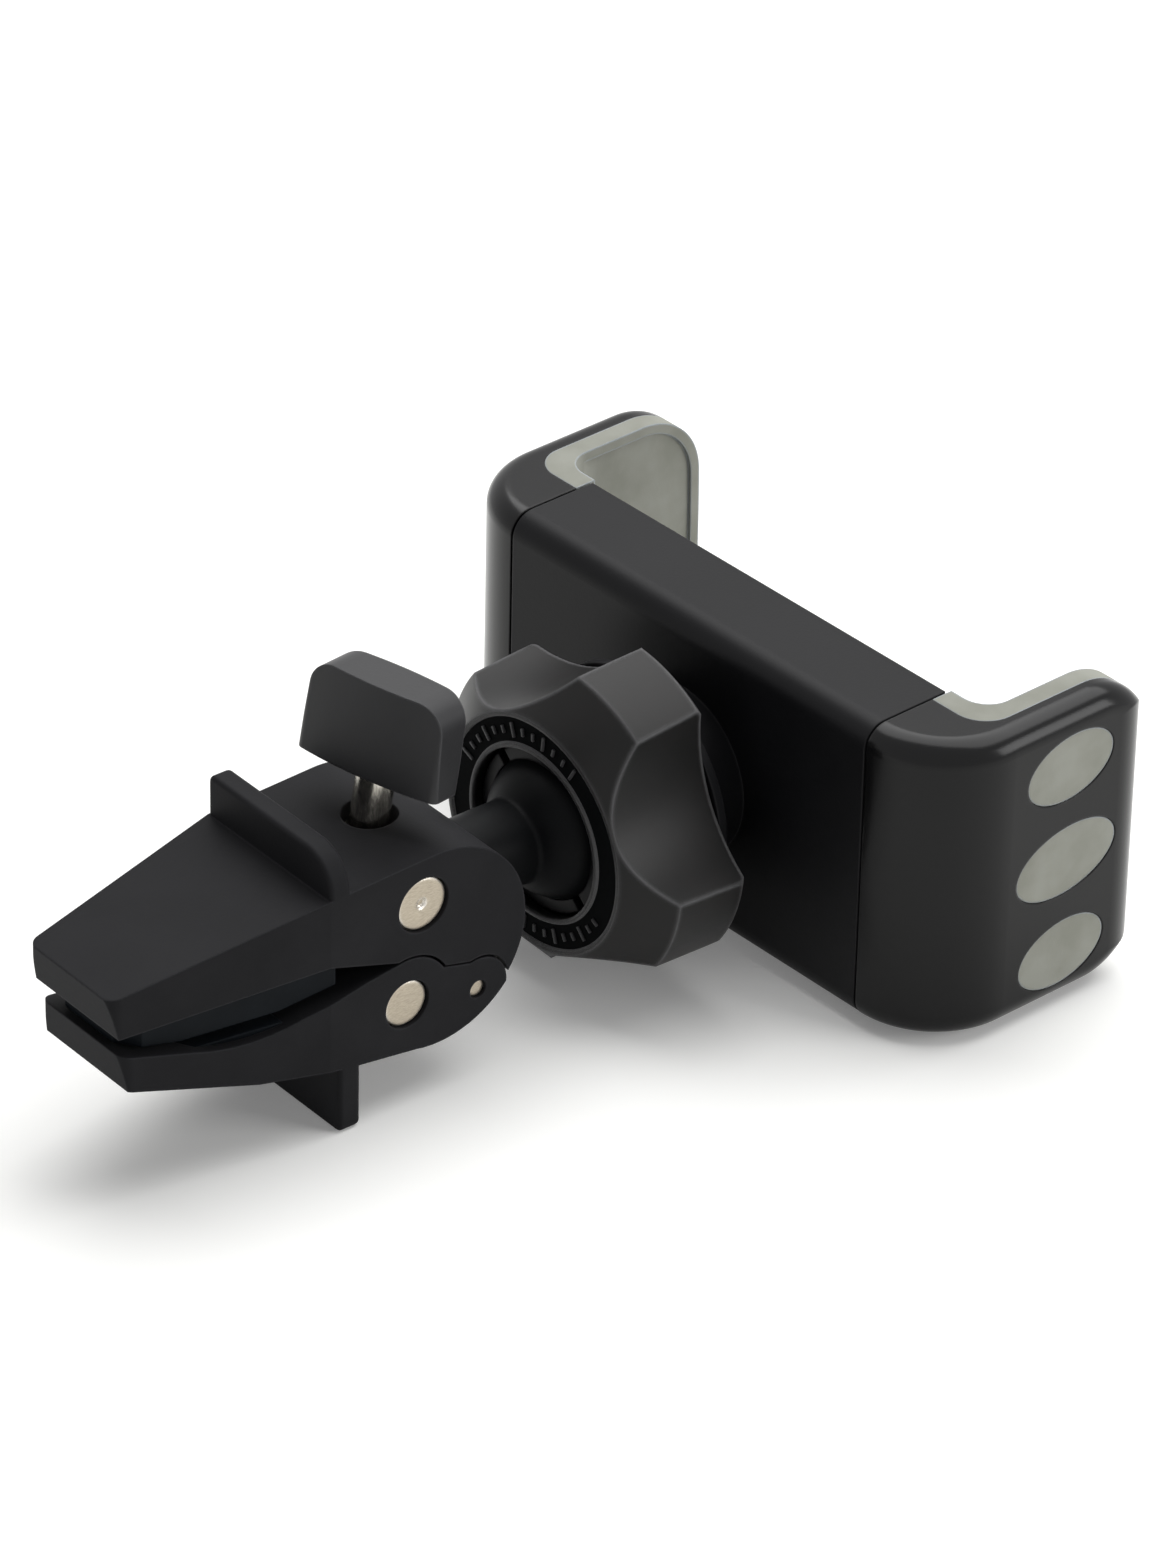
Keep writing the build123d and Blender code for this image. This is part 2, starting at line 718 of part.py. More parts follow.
def lower_pad_half_width():
    taper = (jaw_half_width - tip_half_width) / (taper_start_y - jaw_tip_y)
    return pad_half_width + taper * (lower_pad_front_y - pad_front_y)


def make_lower_pad():
    return pad_plan(lower_pad_half_width(), lower_pad_front_y, lower_pad_length,
                    lower_pad_seat_z, lower_pad_face_z)


def make_lower_jaw():
    start, seam, end = seam_curve(0, lower_rear_radius)
    belly = around(jaw_rear, lower_rear_radius, -70)
    low = around(jaw_rear, lower_rear_radius, -103)
    outline = Curve() + [
        Line(lower_lip, lower_dip[0]),
        ThreePointArc(*lower_dip),
        Line(lower_dip[-1], lower_throat),
        Line(lower_throat, start),
        *seam,
        ThreePointArc(end, belly, low),
        Line(low, lower_belly[0]),
        Line(lower_belly[0], lower_belly[1]),
        Line(lower_belly[1], lower_belly[2]),
        Line(lower_belly[2], lower_lip),
    ]
    jaw = side_solid(outline, jaw_half_width)
    jaw &= jaw_plan(tip_half_width, lower_tip_y, -14, 20)
    jaw += fin((*lower_fin, lower_fin_end_z), -1) - block(-20, 20, -60, 0, -6, 20)
    slot = tongue_half_width + running_gap
    jaw -= block(-slot, slot, lower_pivot[0] - pivot_lobe_radius + 0.4, 0, -30, 10)
    jaw -= cylinder_x(lower_barrel_radius + pin_gap, jaw_half_width + 1, *lower_pivot)
    jaw -= cylinder_x(hinge_pin_radius, jaw_half_width + 1, *hinge)
    jaw -= pad_plan(lower_pad_half_width(), lower_pad_front_y, lower_pad_length,
                    lower_pad_seat_z, 5)
    return jaw


def make_ball_stem():
    # Ball, eased neck, stem and the spigot bonded into the upper jaw, in one turning.
    ease_x = stem_radius + stem_fillet
    ease_y = -sqrt((ball_radius + stem_fillet)**2 - ease_x**2)
    share = ball_radius / (ball_radius + stem_fillet)
    on_ball = (ease_x * share, ease_y * share)
    on_stem = (stem_radius, ease_y)
    turn = atan2(on_ball[1] - ease_y, on_ball[0] - ease_x) / 2 + pi / 2
    bend = (ease_x + stem_fillet * cos(turn), ease_y + stem_fillet * sin(turn))
    outline = Curve() + [
        ThreePointArc((0, ball_radius), (ball_radius, 0), on_ball),
        ThreePointArc(on_ball, bend, on_stem),
        Line(on_stem, (stem_radius, stem_seat_y)),
        Line((stem_radius, stem_seat_y), (spigot_radius, stem_seat_y)),
        Line((spigot_radius, stem_seat_y), (spigot_radius, spigot_end_y)),
        Line((spigot_radius, spigot_end_y), (0, spigot_end_y)),
        Line((0, spigot_end_y), (0, ball_radius)),
    ]
    return revolve(make_face(outline), axis=Axis.Y)


def make_barrel(radius, pivot, bore):
    barrel = cylinder_x(radius, jaw_half_width - pin_recess, *pivot)
    rims = barrel.edges().filter_by(GeomType.CIRCLE)
    barrel = chamfer(rims, 0.25)
    return barrel - screw_cylinder(bore, -30, 30)


def make_upper_barrel():
    barrel = make_barrel(upper_barrel_radius, upper_pivot, screw_radius + pin_gap)
    for start, end in ((barrel_flat, 5), (-5, -barrel_flat)):
        barrel -= screw_cylinder(ring_radius + running_gap, start, end)
    for side in (-1, 1):
        depth = jaw_half_width - pin_recess - dimple_depth
        dimple = cylinder_x(dimple_radius, dimple_depth, *upper_pivot)
        barrel -= Pos(side * (depth + dimple_depth), 0, 0) * dimple
    return barrel


def make_hinge_pin():
    pin = cylinder_x(hinge_pin_radius, jaw_half_width - pin_recess, *hinge)
    return chamfer(pin.edges().filter_by(GeomType.CIRCLE), 0.15)


def make_thumb_screw():
    screw = screw_cylinder(screw_radius, screw_end, knob_bottom + knob_bore_depth)
    collar = screw_cylinder(collar_radius, barrel_flat + pin_gap, barrel_flat + collar_height)
    return screw + collar


def make_retaining_ring():
    top = -barrel_flat - pin_gap
    ring = screw_cylinder(ring_radius, top - ring_height, top)
    return ring - screw_cylinder(screw_radius, top - ring_height - 1, top + 1)


def make_thumb_knob():
    end = knob_end_thickness / 2
    middle = knob_middle_thickness / 2
    length = knob_half_length
    plan = Curve() + [
        ThreePointArc((-length, -end), (0, -middle), (length, -end)),
        Line((length, -end), (length, end)),
        ThreePointArc((length, end), (0, middle), (-length, end)),
        Line((-length, end), (-length, -end)),
    ]
    plan_face = make_face(plan)
    plan_face = fillet(plan_face.vertices(), knob_edge_radius)
    knob = extrude(Pos(0, 0, knob_bottom) * plan_face, amount=knob_top - knob_bottom)
    front = Polyline((-length, knob_bottom), (length, knob_bottom),
                     (knob_top_half_length, knob_top), (-knob_top_half_length, knob_top),
                     close=True)
    front_solid = extrude(Plane.XZ * make_face(front), amount=middle + 1, both=True)
    tops = front_solid.edges().filter_by(Axis.Y).group_by(Axis.Z)[-1]
    knob &= fillet(tops, knob_corner_radius)
    knob -= Pos(0, 0, knob_bottom + knob_bore_depth / 2) * Cylinder(screw_radius, knob_bore_depth)
    return screw_place * Rot(Z=knob_turn) * knob


def turned_over(shape):
    return Rot(Y=180) * shape


def write(shape, name):
    export_step(shape, f"parts/{name}.step")


def main():
    write(make_rear_housing(), "rear_housing")
    write(make_front_cover(), "front_cover")
    write(make_cover_screws(), "cover_screws")
    write(make_sync_pinion(), "sync_pinion")
    shell, liner = make_arm_pieces()
    right = {
        "slider": make_slider(),
        "slider_screws": make_slider_screws(),
        "return_spring": make_return_spring(),
        "arm_shell": shell,
        "arm_liner": liner,
    }
    for name, shape in right.items():
        write(shape, f"{name}_right")
        write(turned_over(shape), f"{name}_left")

    write(make_ball_seat(), "ball_seat")
    write(make_locking_nut(), "locking_nut")
    clamp = {
        "ball_stem": make_ball_stem(),
        "upper_jaw": make_upper_jaw(),
        "upper_pad": make_upper_pad(),
        "lower_jaw": make_lower_jaw(),
        "lower_pad": make_lower_pad(),
        "upper_barrel": make_upper_barrel(),
        "lower_barrel": make_barrel(lower_barrel_radius, lower_pivot, screw_radius + running_gap),
        "hinge_pin": make_hinge_pin(),
        "thumb_screw": make_thumb_screw(),
        "retaining_ring": make_retaining_ring(),
        "thumb_knob": make_thumb_knob(),
    }
    for name, shape in clamp.items():
        write(clamp_place * shape, name)


main()
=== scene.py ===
from math import cos, radians, sin

import bmesh
import bpy
from mathutils import Matrix, Vector


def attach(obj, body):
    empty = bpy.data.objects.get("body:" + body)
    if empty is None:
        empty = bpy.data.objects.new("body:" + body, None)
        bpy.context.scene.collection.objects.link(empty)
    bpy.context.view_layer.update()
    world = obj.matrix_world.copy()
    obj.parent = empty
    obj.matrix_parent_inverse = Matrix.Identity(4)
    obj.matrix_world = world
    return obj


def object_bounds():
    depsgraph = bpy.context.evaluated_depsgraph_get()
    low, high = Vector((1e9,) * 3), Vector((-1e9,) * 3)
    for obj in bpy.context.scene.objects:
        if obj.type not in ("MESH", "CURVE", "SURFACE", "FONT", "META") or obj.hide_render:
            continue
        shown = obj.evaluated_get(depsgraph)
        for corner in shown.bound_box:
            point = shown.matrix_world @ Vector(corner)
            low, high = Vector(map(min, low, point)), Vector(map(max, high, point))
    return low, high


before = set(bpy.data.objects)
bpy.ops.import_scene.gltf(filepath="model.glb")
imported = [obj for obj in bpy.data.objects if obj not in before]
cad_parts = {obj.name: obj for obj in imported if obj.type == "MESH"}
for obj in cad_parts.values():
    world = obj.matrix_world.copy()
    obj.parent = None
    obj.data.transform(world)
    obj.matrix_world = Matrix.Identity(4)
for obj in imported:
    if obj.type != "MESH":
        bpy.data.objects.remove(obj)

cadLow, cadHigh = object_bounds()
mm = 0.001
print("frame loaded:", len(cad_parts), "nodes")


# Helpers for nodes and colours
def hexColour(code):
    # sRGB hex to linear RGBA
    channels = [int(code[i:i + 2], 16) / 255 for i in (1, 3, 5)]
    linear = [c / 12.92 if c <= 0.04045 else ((c + 0.055) / 1.055) ** 2.4 for c in channels]
    return (*linear, 1.0)


def addNode(tree, kind, settings=None, inputs=None, links=None):
    # One node: its settings, its socket values and what feeds its sockets
    node = tree.nodes.new(kind)
    for name, value in (settings or {}).items():
        setattr(node, name, value)
    for name, value in (inputs or {}).items():
        node.inputs[name].default_value = value
    for name, source in (links or {}).items():
        tree.links.new(source, node.inputs[name])
    return node


def newMaterial(name):
    material = bpy.data.materials.new(name)
    material.use_nodes = True
    tree = material.node_tree
    tree.nodes.clear()
    place = addNode(tree, "ShaderNodeTexCoord").outputs["Object"]
    output = addNode(tree, "ShaderNodeOutputMaterial")
    return material, tree, place, output


def perMetre(millimetres):
    # Noise scale whose main features are this size
    return 1.0 / (millimetres * mm)


# What all finishes share
surface = {
    "grainDepth": 0.05,        # mm, moulded grain at full bump
    "scratchDepth": 0.02,      # mm, scratches in steel at full bump
    "scratchRoughness": 0.06,  # how far the scratches move the roughness of steel each way
    "coatRoughness": 0.08,
    "rampLow": 0.35,           # where a noise turns from the dark to the light colour
    "rampHigh": 0.65,
    "highlightStart": 0.98,          # cosine between the face and its rounded edge where the painted edge highlight begins
    "highlightFull": 0.85,           # and where it is complete
}


def bodyColour(tree, noise, edge, look):
    # The noise runs the colour from dark to light. Along an edge the rounded
    # normal leaves the face's own, and there a paler colour paints a highlight, with some edge wear
    ramp = addNode(tree, "ShaderNodeValToRGB", links={"Fac": noise})
    low, high = ramp.color_ramp.elements
    low.position = surface["rampLow"]
    low.color = hexColour(look["dark"])
    high.position = surface["rampHigh"]
    high.color = hexColour(look["light"])
    if "wearAndHighlight" not in look:
        return ramp.outputs["Color"]
    face = addNode(tree, "ShaderNodeNewGeometry").outputs["Normal"]
    turned = addNode(tree, "ShaderNodeVectorMath", {"operation": "DOT_PRODUCT"}, links={0: edge, 1: face})
    edgeHighlightAmount = addNode(tree, "ShaderNodeMapRange",
                     inputs={"From Min": surface["highlightStart"], "From Max": surface["highlightFull"],
                             "To Max": look["wearAndHighlight"]},
                     links={"Value": turned.outputs["Value"]}).outputs["Result"]
    # Paler colour along the edges: painted highlight, with some edge wear
    return addNode(tree, "ShaderNodeMix", {"data_type": "RGBA"}, {"B": hexColour(look["wearAndHighlightColour"])},
                   {"Factor": edgeHighlightAmount, "A": ramp.outputs["Color"]}).outputs["Result"]


def moulded(name, look):
    # Injection moulded plastic or rubber: a body colour with a faint flow
    # mottle, a spark-eroded grain in the normal and softened mould edges
    material, tree, place, output = newMaterial(name)
    mottle = addNode(tree, "ShaderNodeTexNoise", inputs={"Scale": perMetre(look["mottle"]), "Detail": 3.0},
                     links={"Vector": place}).outputs["Fac"]
    grain = addNode(tree, "ShaderNodeTexNoise", inputs={"Scale": perMetre(look["grain"]), "Detail": 2.0},
                    links={"Vector": place}).outputs["Fac"]
    edge = addNode(tree, "ShaderNodeBevel", {"samples": 4}, {"Radius": look["edge"] * mm}).outputs["Normal"]
    bump = addNode(tree, "ShaderNodeBump",
                   inputs={"Strength": look["bump"], "Distance": surface["grainDepth"] * mm},
                   links={"Height": grain, "Normal": edge}).outputs["Normal"]
    colour = bodyColour(tree, mottle, edge, look)
    rough = addNode(tree, "ShaderNodeMapRange",
                    inputs={"To Min": look["rough"] - look["roughSpread"],
                            "To Max": look["rough"] + look["roughSpread"]},
                    links={"Value": mottle}).outputs["Result"]
    shader = addNode(tree, "ShaderNodeBsdfPrincipled",
                     inputs={"IOR": look["ior"], "Specular IOR Level": look["specular"],
                             "Coat Weight": look["coat"], "Coat Roughness": surface["coatRoughness"]},
                     links={"Base Color": colour, "Roughness": rough, "Normal": bump})
    tree.links.new(shader.outputs["BSDF"], output.inputs["Surface"])
    return material


def machined(name, look):
    # Turned or drawn steel: long fine scratches along one direction
    material, tree, place, output = newMaterial(name)
    stretch = addNode(tree, "ShaderNodeMapping", inputs={"Scale": look["stretch"]},
                      links={"Vector": place}).outputs["Vector"]
    scratch = addNode(tree, "ShaderNodeTexNoise", inputs={"Scale": perMetre(look["scratch"]), "Detail": 4.0},
                      links={"Vector": stretch}).outputs["Fac"]
    edge = addNode(tree, "ShaderNodeBevel", {"samples": 4}, {"Radius": look["edge"] * mm}).outputs["Normal"]
    bump = addNode(tree, "ShaderNodeBump",
                   inputs={"Strength": look["bump"], "Distance": surface["scratchDepth"] * mm},
                   links={"Height": scratch, "Normal": edge}).outputs["Normal"]
    colour = bodyColour(tree, scratch, edge, look)
    rough = addNode(tree, "ShaderNodeMapRange",
                    inputs={"To Min": look["rough"] - surface["scratchRoughness"],
                            "To Max": look["rough"] + surface["scratchRoughness"]},
                    links={"Value": scratch}).outputs["Result"]
    shader = addNode(tree, "ShaderNodeBsdfPrincipled", inputs={"Metallic": 1.0},
                     links={"Base Color": colour, "Roughness": rough, "Normal": bump})
    tree.links.new(shader.outputs["BSDF"], output.inputs["Surface"])
    return material


# Finishes. mottle, grain, scratch and edge are in mm. The paler edge colour paints a highlight along rounded
# edges, with some edge wear
plasticLooks = {
    # ABS with a satin spark-eroded skin: a soft broad sheen, no mirror
    "satinAbs": {"dark": "#0e0e10", "light": "#121214", "mottle": 14, "grain": 0.4, "bump": 0.16,
                 "rough": 0.42, "roughSpread": 0.03, "ior": 1.53, "specular": 0.11, "coat": 0.0,
                 "edge": 0.3, "wearAndHighlight": 0.5, "wearAndHighlightColour": "#303032"},
    # ABS from a polished mould: clear soft-box reflections along its rolled edges
    "polishedAbs": {"dark": "#0c0c0d", "light": "#0f0f10", "mottle": 18, "grain": 0.6, "bump": 0.02,
                    "rough": 0.2, "roughSpread": 0.02, "ior": 1.53, "specular": 0.17, "coat": 0.02,
                    "edge": 0.3},
    # Glass-filled nylon of the jaws: dry, with an even grain, drawn coarser than its 0.15 mm to show
    "filledNylon": {"dark": "#1a1a1c", "light": "#1f1f21", "mottle": 9, "grain": 0.45, "bump": 0.24,
                    "rough": 0.6, "roughSpread": 0.04, "ior": 1.54, "specular": 0.07, "coat": 0.0,
                    "edge": 0.35, "wearAndHighlight": 0.6, "wearAndHighlightColour": "#3c3c3f"},
    # The knob's nylon is rubbed by the fingers: greyer, with a silky sheen
    "rubbedNylon": {"dark": "#1c1c1e", "light": "#212123", "mottle": 7, "grain": 0.45, "bump": 0.18,
                    "rough": 0.42, "roughSpread": 0.04, "ior": 1.54, "specular": 0.28, "coat": 0.0,
                    "edge": 0.4, "wearAndHighlight": 0.7, "wearAndHighlightColour": "#5a5a5d"},
    # The nut's nylon comes from a smoother mould: its edges are rounded and carry a pale painted highlight
    "satinNylon": {"dark": "#191919", "light": "#1e1d1d", "mottle": 9, "grain": 0.4, "bump": 0.12,
                   "rough": 0.38, "roughSpread": 0.03, "ior": 1.54, "specular": 0.15, "coat": 0.0,
                   "edge": 0.8, "wearAndHighlight": 0.9, "wearAndHighlightColour": "#7c7c7e"},
    # Floor of the nut's sunk ring: dead matt, nearly black, painted shade of the recess
    "ringShadeNylon": {"dark": "#090a0b", "light": "#0d0e0f", "mottle": 4, "grain": 0.18, "bump": 0.25,
                    "rough": 0.8, "roughSpread": 0.05, "ior": 1.54, "specular": 0.03, "coat": 0.0,
                    "edge": 0.1},
    # Greased acetal of the ball and its stem: the deepest black
    "greasedAcetal": {"dark": "#090a0b", "light": "#0c0d0f", "mottle": 8, "grain": 0.3, "bump": 0.04,
                      "rough": 0.46, "roughSpread": 0.03, "ior": 1.48, "specular": 0.07, "coat": 0.0,
                      "edge": 0.3, "wearAndHighlight": 0.6, "wearAndHighlightColour": "#2c2e31"},
    # Grey thermoplastic rubber: chalky, slightly green, with a painted highlight along its rims
    "greyRubber": {"dark": "#82837a", "light": "#8f9088", "mottle": 6, "grain": 0.4, "bump": 0.2,
                   "rough": 0.62, "roughSpread": 0.04, "ior": 1.5, "specular": 0.2, "coat": 0.0,
                   "edge": 0.35, "wearAndHighlight": 0.8, "wearAndHighlightColour": "#b6c0cc"},
    # Black moulded rubber of the gripping pads: dark and dull, a little blue
    "blackRubber": {"dark": "#0a0e12", "light": "#101418", "mottle": 5, "grain": 0.4, "bump": 0.2,
                    "rough": 0.5, "roughSpread": 0.05, "ior": 1.5, "specular": 0.08, "coat": 0.0,
                    "edge": 0.3, "wearAndHighlight": 0.3, "wearAndHighlightColour": "#2a3036"},
    # Natural acetal of the sliders and gear: waxy white
    "naturalAcetal": {"dark": "#d9d6cb", "light": "#e4e1d7", "mottle": 8, "grain": 0.3, "bump": 0.05,
                      "rough": 0.36, "roughSpread": 0.03, "ior": 1.48, "specular": 0.5, "coat": 0.0,
                      "edge": 0.15, "wearAndHighlight": 0.3, "wearAndHighlightColour": "#f4f2ea"},
}
metalLooks = {
    # Nickel plated steel pins: faintly warm, brushed across their ends, with a painted highlight round the
    # rim
    "nickelSteel": {"dark": "#a3998a", "light": "#bdb3a1", "scratch": 0.5, "stretch": (1, 1, 12),
                    "bump": 0.12, "rough": 0.36, "edge": 0.5, "wearAndHighlight": 1.0, "wearAndHighlightColour": "#fffcf5"},
    # Bright drawn steel of the screw: sharper streaks along the shaft
    "drawnSteel": {"dark": "#a7a39a", "light": "#d9d5ca", "scratch": 0.7, "stretch": (6, 6, 1),
                   "bump": 0.05, "rough": 0.2, "edge": 0.2, "wearAndHighlight": 0.5, "wearAndHighlightColour": "#f2eee6"},
    # Zinc plated screws and springs: cool grey
    "zincSteel": {"dark": "#9a9ea1", "light": "#bcc0c2", "scratch": 0.4, "stretch": (1, 1, 1),
                  "bump": 0.08, "rough": 0.3, "edge": 0.2, "wearAndHighlight": 0.5, "wearAndHighlightColour": "#e2e5e6"},
    # The same steel darkened: painted shade of a screw's recess
    "recessShadeSteel": {"dark": "#2b2c2e", "light": "#3a3b3d", "scratch": 0.3, "stretch": (1, 1, 1),
                  "bump": 0.05, "rough": 0.5, "edge": 0.05},
}
finishes = {name: moulded(name, look) for name, look in plasticLooks.items()}
finishes.update({name: machined(name, look) for name, look in metalLooks.items()})
print("finishes:", len(finishes))


# Which finish each CAD node wears
nodeFinishes = {
    "satinAbs": ["rear_housing", "front_cover"],
    "polishedAbs": ["arm_shell_right", "arm_shell_left"],
    "filledNylon": ["upper_jaw", "lower_jaw"],
    "rubbedNylon": ["thumb_knob"],
    "satinNylon": ["locking_nut"],
    "greasedAcetal": ["ball_stem"],
    "greyRubber": ["arm_liner_right", "arm_liner_left"],
    "blackRubber": ["ball_seat", "upper_pad", "lower_pad"],
    "naturalAcetal": ["slider_right", "slider_left", "sync_pinion"],
    "nickelSteel": ["upper_barrel", "lower_barrel", "hinge_pin"],
    "drawnSteel": ["thumb_screw", "retaining_ring"],
    "zincSteel": ["cover_screws", "slider_screws_right", "slider_screws_left",
                  "return_spring_right", "return_spring_left"],
}
for finish, nodes in nodeFinishes.items():
    for node in nodes:
        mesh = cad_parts[node].data
        mesh.materials.clear()
        mesh.materials.append(finishes[finish])
print("nodes dressed")


# Making a finished piece from a bmesh
def makePiece(name, bm, material, body):
    bmesh.ops.recalc_face_normals(bm, faces=bm.faces)
    mesh = bpy.data.meshes.new(name)
    bm.to_mesh(mesh)
    bm.free()
    mesh.materials.append(material)
    piece = bpy.data.objects.new(name, mesh)
    bpy.context.scene.collection.objects.link(piece)
    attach(piece, body)
    return piece


# The nut's sunk front ring: a near-black skin of painted shade on its floor, with raised ticks in two arcs
nutRing = {
    "floorY": -31.85,          # mm, floor of the sunk ring
    "skin": 0.06,              # mm, thickness of the near-black skin of painted shade
    "inner": 10.1,             # mm, radii of the floor
    "outer": 13.1,
    "steps": 96,               # facets round the floor
    "radius": 11.6,            # mm, middle of the ticks
    "tickLength": 1.7,
    "shortTick": 0.55,         # of a long tick's length
    "longEvery": 3,
    "tickWidth": 0.34,
    "tickRound": 0.06,
    "height": 0.3,             # mm above the floor
    "sunk": 0.05,              # mm below it
    "tickStep": 8,             # degrees
    "arcs": ((60, 156), (240, 328)),
}


def makeNutRingShade():
    # A near-black skin on the sunk ring's floor: painted shade of the recess
    bm = bmesh.new()
    low = nutRing["floorY"]
    high = low - nutRing["skin"]
    inner, outer = nutRing["inner"], nutRing["outer"]
    corners = [(inner, low), (outer, low), (outer, high), (inner, high)]
    verts = [bm.verts.new((radius * mm, y * mm, 0)) for radius, y in corners]
    edges = [bm.edges.new((verts[i - 1], verts[i])) for i in range(4)]
    bmesh.ops.spin(bm, geom=verts + edges, cent=(0, 0, 0), axis=(0, 1, 0), dvec=(0, 0, 0),
                   angle=radians(360), steps=nutRing["steps"], use_merge=True)
    bmesh.ops.remove_doubles(bm, verts=bm.verts, dist=0.001 * mm)
    return makePiece("nutRingShade", bm, finishes["ringShadeNylon"], "locking_nut")


def ringBar(bm, angle, length):
    # A small rounded bar that points away from the nut's axis
    bar = bmesh.ops.create_cube(bm, size=1.0)["verts"]
    depth = nutRing["height"] + nutRing["sunk"]
    bmesh.ops.scale(bm, vec=(length * mm, depth * mm, nutRing["tickWidth"] * mm), verts=bar)
    edges = list({e for v in bar for e in v.link_edges})
    made = bmesh.ops.bevel(bm, geom=edges, offset=nutRing["tickRound"] * mm, offset_type="OFFSET",
                           segments=2, profile=0.5, affect="EDGES", material=-1)
    bar = list({v for f in made["faces"] for v in f.verts})
    middle = nutRing["floorY"] + nutRing["sunk"] - depth / 2
    bmesh.ops.translate(bm, vec=(nutRing["radius"] * mm, middle * mm, 0), verts=bar)
    bmesh.ops.rotate(bm, cent=(0, 0, 0), matrix=Matrix.Rotation(-radians(angle), 3, "Y"), verts=bar)


def makeNutTicks():
    bm = bmesh.new()
    for first, last in nutRing["arcs"]:
        for i, angle in enumerate(range(first, last + 1, nutRing["tickStep"])):
            share = 1 if i % nutRing["longEvery"] == 0 else nutRing["shortTick"]
            ringBar(bm, angle, nutRing["tickLength"] * share)
    return makePiece("nutRingTicks", bm, finishes["rubbedNylon"], "locking_nut")


makeNutRingShade()
makeNutTicks()
print("nut ring done")


# Cross recesses in the heads of the cover's screws: flat dark bars of painted shade on the zinc
crossRecess = {
    "places": ((-22.5, -11.2), (22.5, 11.2), (-16.0, 0.0), (16.0, 0.0)),   # mm, x and z of the heads
    "turns": (12, 57, 34, 78),                                             # degrees, as the driver left them
    "span": 1.9,
    "width": 0.42,
    "depth": 0.04,             # mm, half of it above the head
    "step": 0.009,             # mm more for the second bar, so that the two tops don't coincide
}


def makeCrossRecessShade():
    # Flat dark bars on the heads: painted shade of the cross recesses
    bm = bmesh.new()
    for (x, z), turn in zip(crossRecess["places"], crossRecess["turns"]):
        for quarter, step in ((0, 0), (90, crossRecess["step"])):
            bar = bmesh.ops.create_cube(bm, size=1.0)["verts"]
            size = Vector((crossRecess["span"], crossRecess["depth"] + step, crossRecess["width"]))
            turned = Matrix.Rotation(radians(turn + quarter), 3, "Y")
            bmesh.ops.scale(bm, vec=size * mm, verts=bar)
            bmesh.ops.rotate(bm, cent=(0, 0, 0), matrix=turned, verts=bar)
            bmesh.ops.translate(bm, vec=(x * mm, 0, z * mm), verts=bar)
    return makePiece("coverScrewRecessShade", bm, finishes["recessShadeSteel"], "cradle")


makeCrossRecessShade()
print("screw recesses done")


# Floor, lights and camera
studio = {
    "floorSize": 6.0,          # m
    "floorColour": "#f8f8f6",
    "floorFade": (110, 330),   # mm from the middle, where the floor turns to pure white
    "floorLift": 0.15,         # white that only the view and reflections see in the floor
    "worldColour": "#ffffff",
    "worldStrength": 0.20,     # light from the room on the object and the floor
    "target": (0, -25, 0),     # mm, what the lamps point at
    "lamps": {
        # name: (place mm, size mm, watts)
        "overhead": ((-120, 220, 620), (1000, 700), 7.7),
        "rearSoftbox": ((500, 330, 190), (300, 300), 1.5),
    },
}


def seenDirectly(tree):
    # 1 for the camera's rays and for what metal and gloss mirror, 0 for light on the object
    rays = addNode(tree, "ShaderNodeLightPath").outputs
    mirrored = addNode(tree, "ShaderNodeMath", {"operation": "MAXIMUM"},
                       links={0: rays["Is Glossy Ray"], 1: rays["Is Transmission Ray"]}).outputs["Value"]
    return addNode(tree, "ShaderNodeMath", {"operation": "MAXIMUM"},
                   links={0: rays["Is Camera Ray"], 1: mirrored}).outputs["Value"]


def floorMaterial():
    material, tree, place, output = newMaterial("studioFloor")
    seen = seenDirectly(tree)
    diffuse = addNode(tree, "ShaderNodeBsdfDiffuse", inputs={"Color": hexColour(studio["floorColour"])})
    lift = addNode(tree, "ShaderNodeMath", {"operation": "MULTIPLY"}, {1: studio["floorLift"]}, {0: seen})
    glow = addNode(tree, "ShaderNodeEmission", links={"Strength": lift.outputs["Value"]})
    both = addNode(tree, "ShaderNodeAddShader",
                   links={0: diffuse.outputs["BSDF"], 1: glow.outputs["Emission"]})
    # Away from the object and its shadow the floor runs into the white backdrop
    away = addNode(tree, "ShaderNodeVectorMath", {"operation": "LENGTH"}, links={0: place}).outputs["Value"]
    near, far = studio["floorFade"]
    fade = addNode(tree, "ShaderNodeMapRange", {"interpolation_type": "SMOOTHSTEP"},
                   {"From Min": near * mm, "From Max": far * mm}, {"Value": away}).outputs["Result"]
    fadeSeen = addNode(tree, "ShaderNodeMath", {"operation": "MULTIPLY"}, links={0: fade, 1: seen})
    white = addNode(tree, "ShaderNodeEmission", inputs={"Strength": 1.0})
    whole = addNode(tree, "ShaderNodeMixShader",
                    links={0: fadeSeen.outputs["Value"], 1: both.outputs["Shader"],
                           2: white.outputs["Emission"]})
    tree.links.new(whole.outputs["Shader"], output.inputs["Surface"])
    return material


def makeFloor():
    mesh = bpy.data.meshes.new("floor")
    bm = bmesh.new()
    bmesh.ops.create_grid(bm, x_segments=1, y_segments=1, size=studio["floorSize"] / 2)
    bmesh.ops.translate(bm, vec=(0, 0, cadLow[2]), verts=bm.verts)
    bm.to_mesh(mesh)
    bm.free()
    mesh.materials.append(floorMaterial())
    floor = bpy.data.objects.new("floor", mesh)
    bpy.context.scene.collection.objects.link(floor)


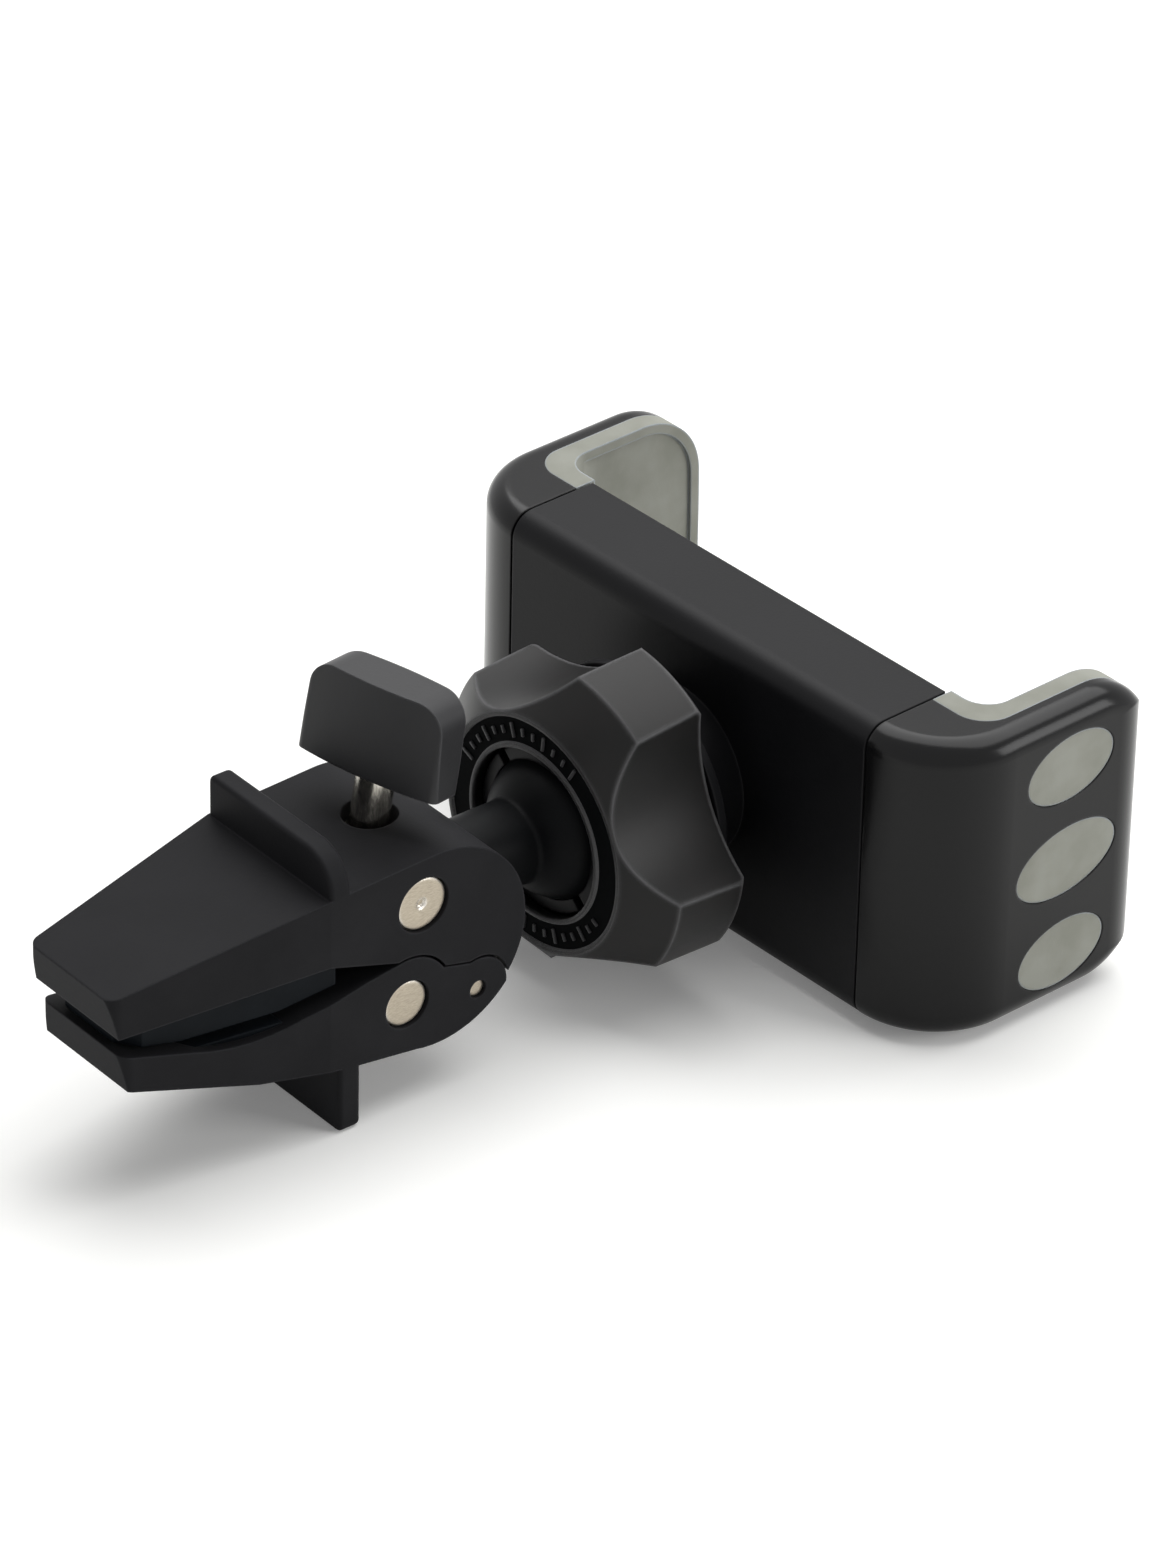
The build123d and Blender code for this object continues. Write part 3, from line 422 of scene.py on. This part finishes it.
def makeWorld():
    world = bpy.data.worlds.new("studioWorld")
    bpy.context.scene.world = world
    world.use_nodes = True
    tree = world.node_tree
    tree.nodes.clear()
    colour = hexColour(studio["worldColour"])
    white = addNode(tree, "ShaderNodeBackground", inputs={"Color": colour, "Strength": 1.0})
    soft = addNode(tree, "ShaderNodeBackground",
                   inputs={"Color": colour, "Strength": studio["worldStrength"]})
    mixed = addNode(tree, "ShaderNodeMixShader",
                    links={0: seenDirectly(tree), 1: soft.outputs["Background"],
                           2: white.outputs["Background"]})
    addNode(tree, "ShaderNodeOutputWorld", links={"Surface": mixed.outputs["Shader"]})


def makeLamps():
    target = Vector(studio["target"]) * mm
    for name, (place, size, watts) in studio["lamps"].items():
        light = bpy.data.lights.new(name, "AREA")
        light.shape = "RECTANGLE"
        light.size = size[0] * mm
        light.size_y = size[1] * mm
        light.energy = watts
        lamp = bpy.data.objects.new(name, light)
        lamp.location = Vector(place) * mm
        lamp.rotation_mode = "QUATERNION"
        lamp.rotation_quaternion = (target - lamp.location).to_track_quat("-Z", "Y")
        bpy.context.scene.collection.objects.link(lamp)


photoCamera = {
    "place": (542.5, -512.8, 466.1),   # mm
    "azimuth": 48.079,                 # degrees from the -Y side towards +X
    "elevation": 32.319,
    "roll": 1.269,
    "lens": 192.05,                    # mm
    "sensor": 36.0,                    # mm, the long side of the frame
    "clip": (0.05, 20.0),              # m
}


def makeCamera():
    azimuth = radians(photoCamera["azimuth"])
    elevation = radians(photoCamera["elevation"])
    roll = radians(photoCamera["roll"])
    back = Vector((sin(azimuth) * cos(elevation), -cos(azimuth) * cos(elevation), sin(elevation)))
    level = Vector((cos(azimuth), sin(azimuth), 0))
    upright = back.cross(level)
    right = level * cos(roll) + upright * sin(roll)
    up = upright * cos(roll) - level * sin(roll)
    data = bpy.data.cameras.new("photoCamera")
    data.lens = photoCamera["lens"]
    data.sensor_width = photoCamera["sensor"]
    data.clip_start, data.clip_end = photoCamera["clip"]
    camera = bpy.data.objects.new("photoCamera", data)
    placed = Matrix((right, up, back)).transposed().to_4x4()
    placed.translation = Vector(photoCamera["place"]) * mm
    camera.matrix_world = placed
    bpy.context.scene.collection.objects.link(camera)
    bpy.context.scene.camera = camera


makeFloor()
makeWorld()
makeLamps()
makeCamera()
bpy.context.scene.view_settings.view_transform = "Standard"
print("studio ready")
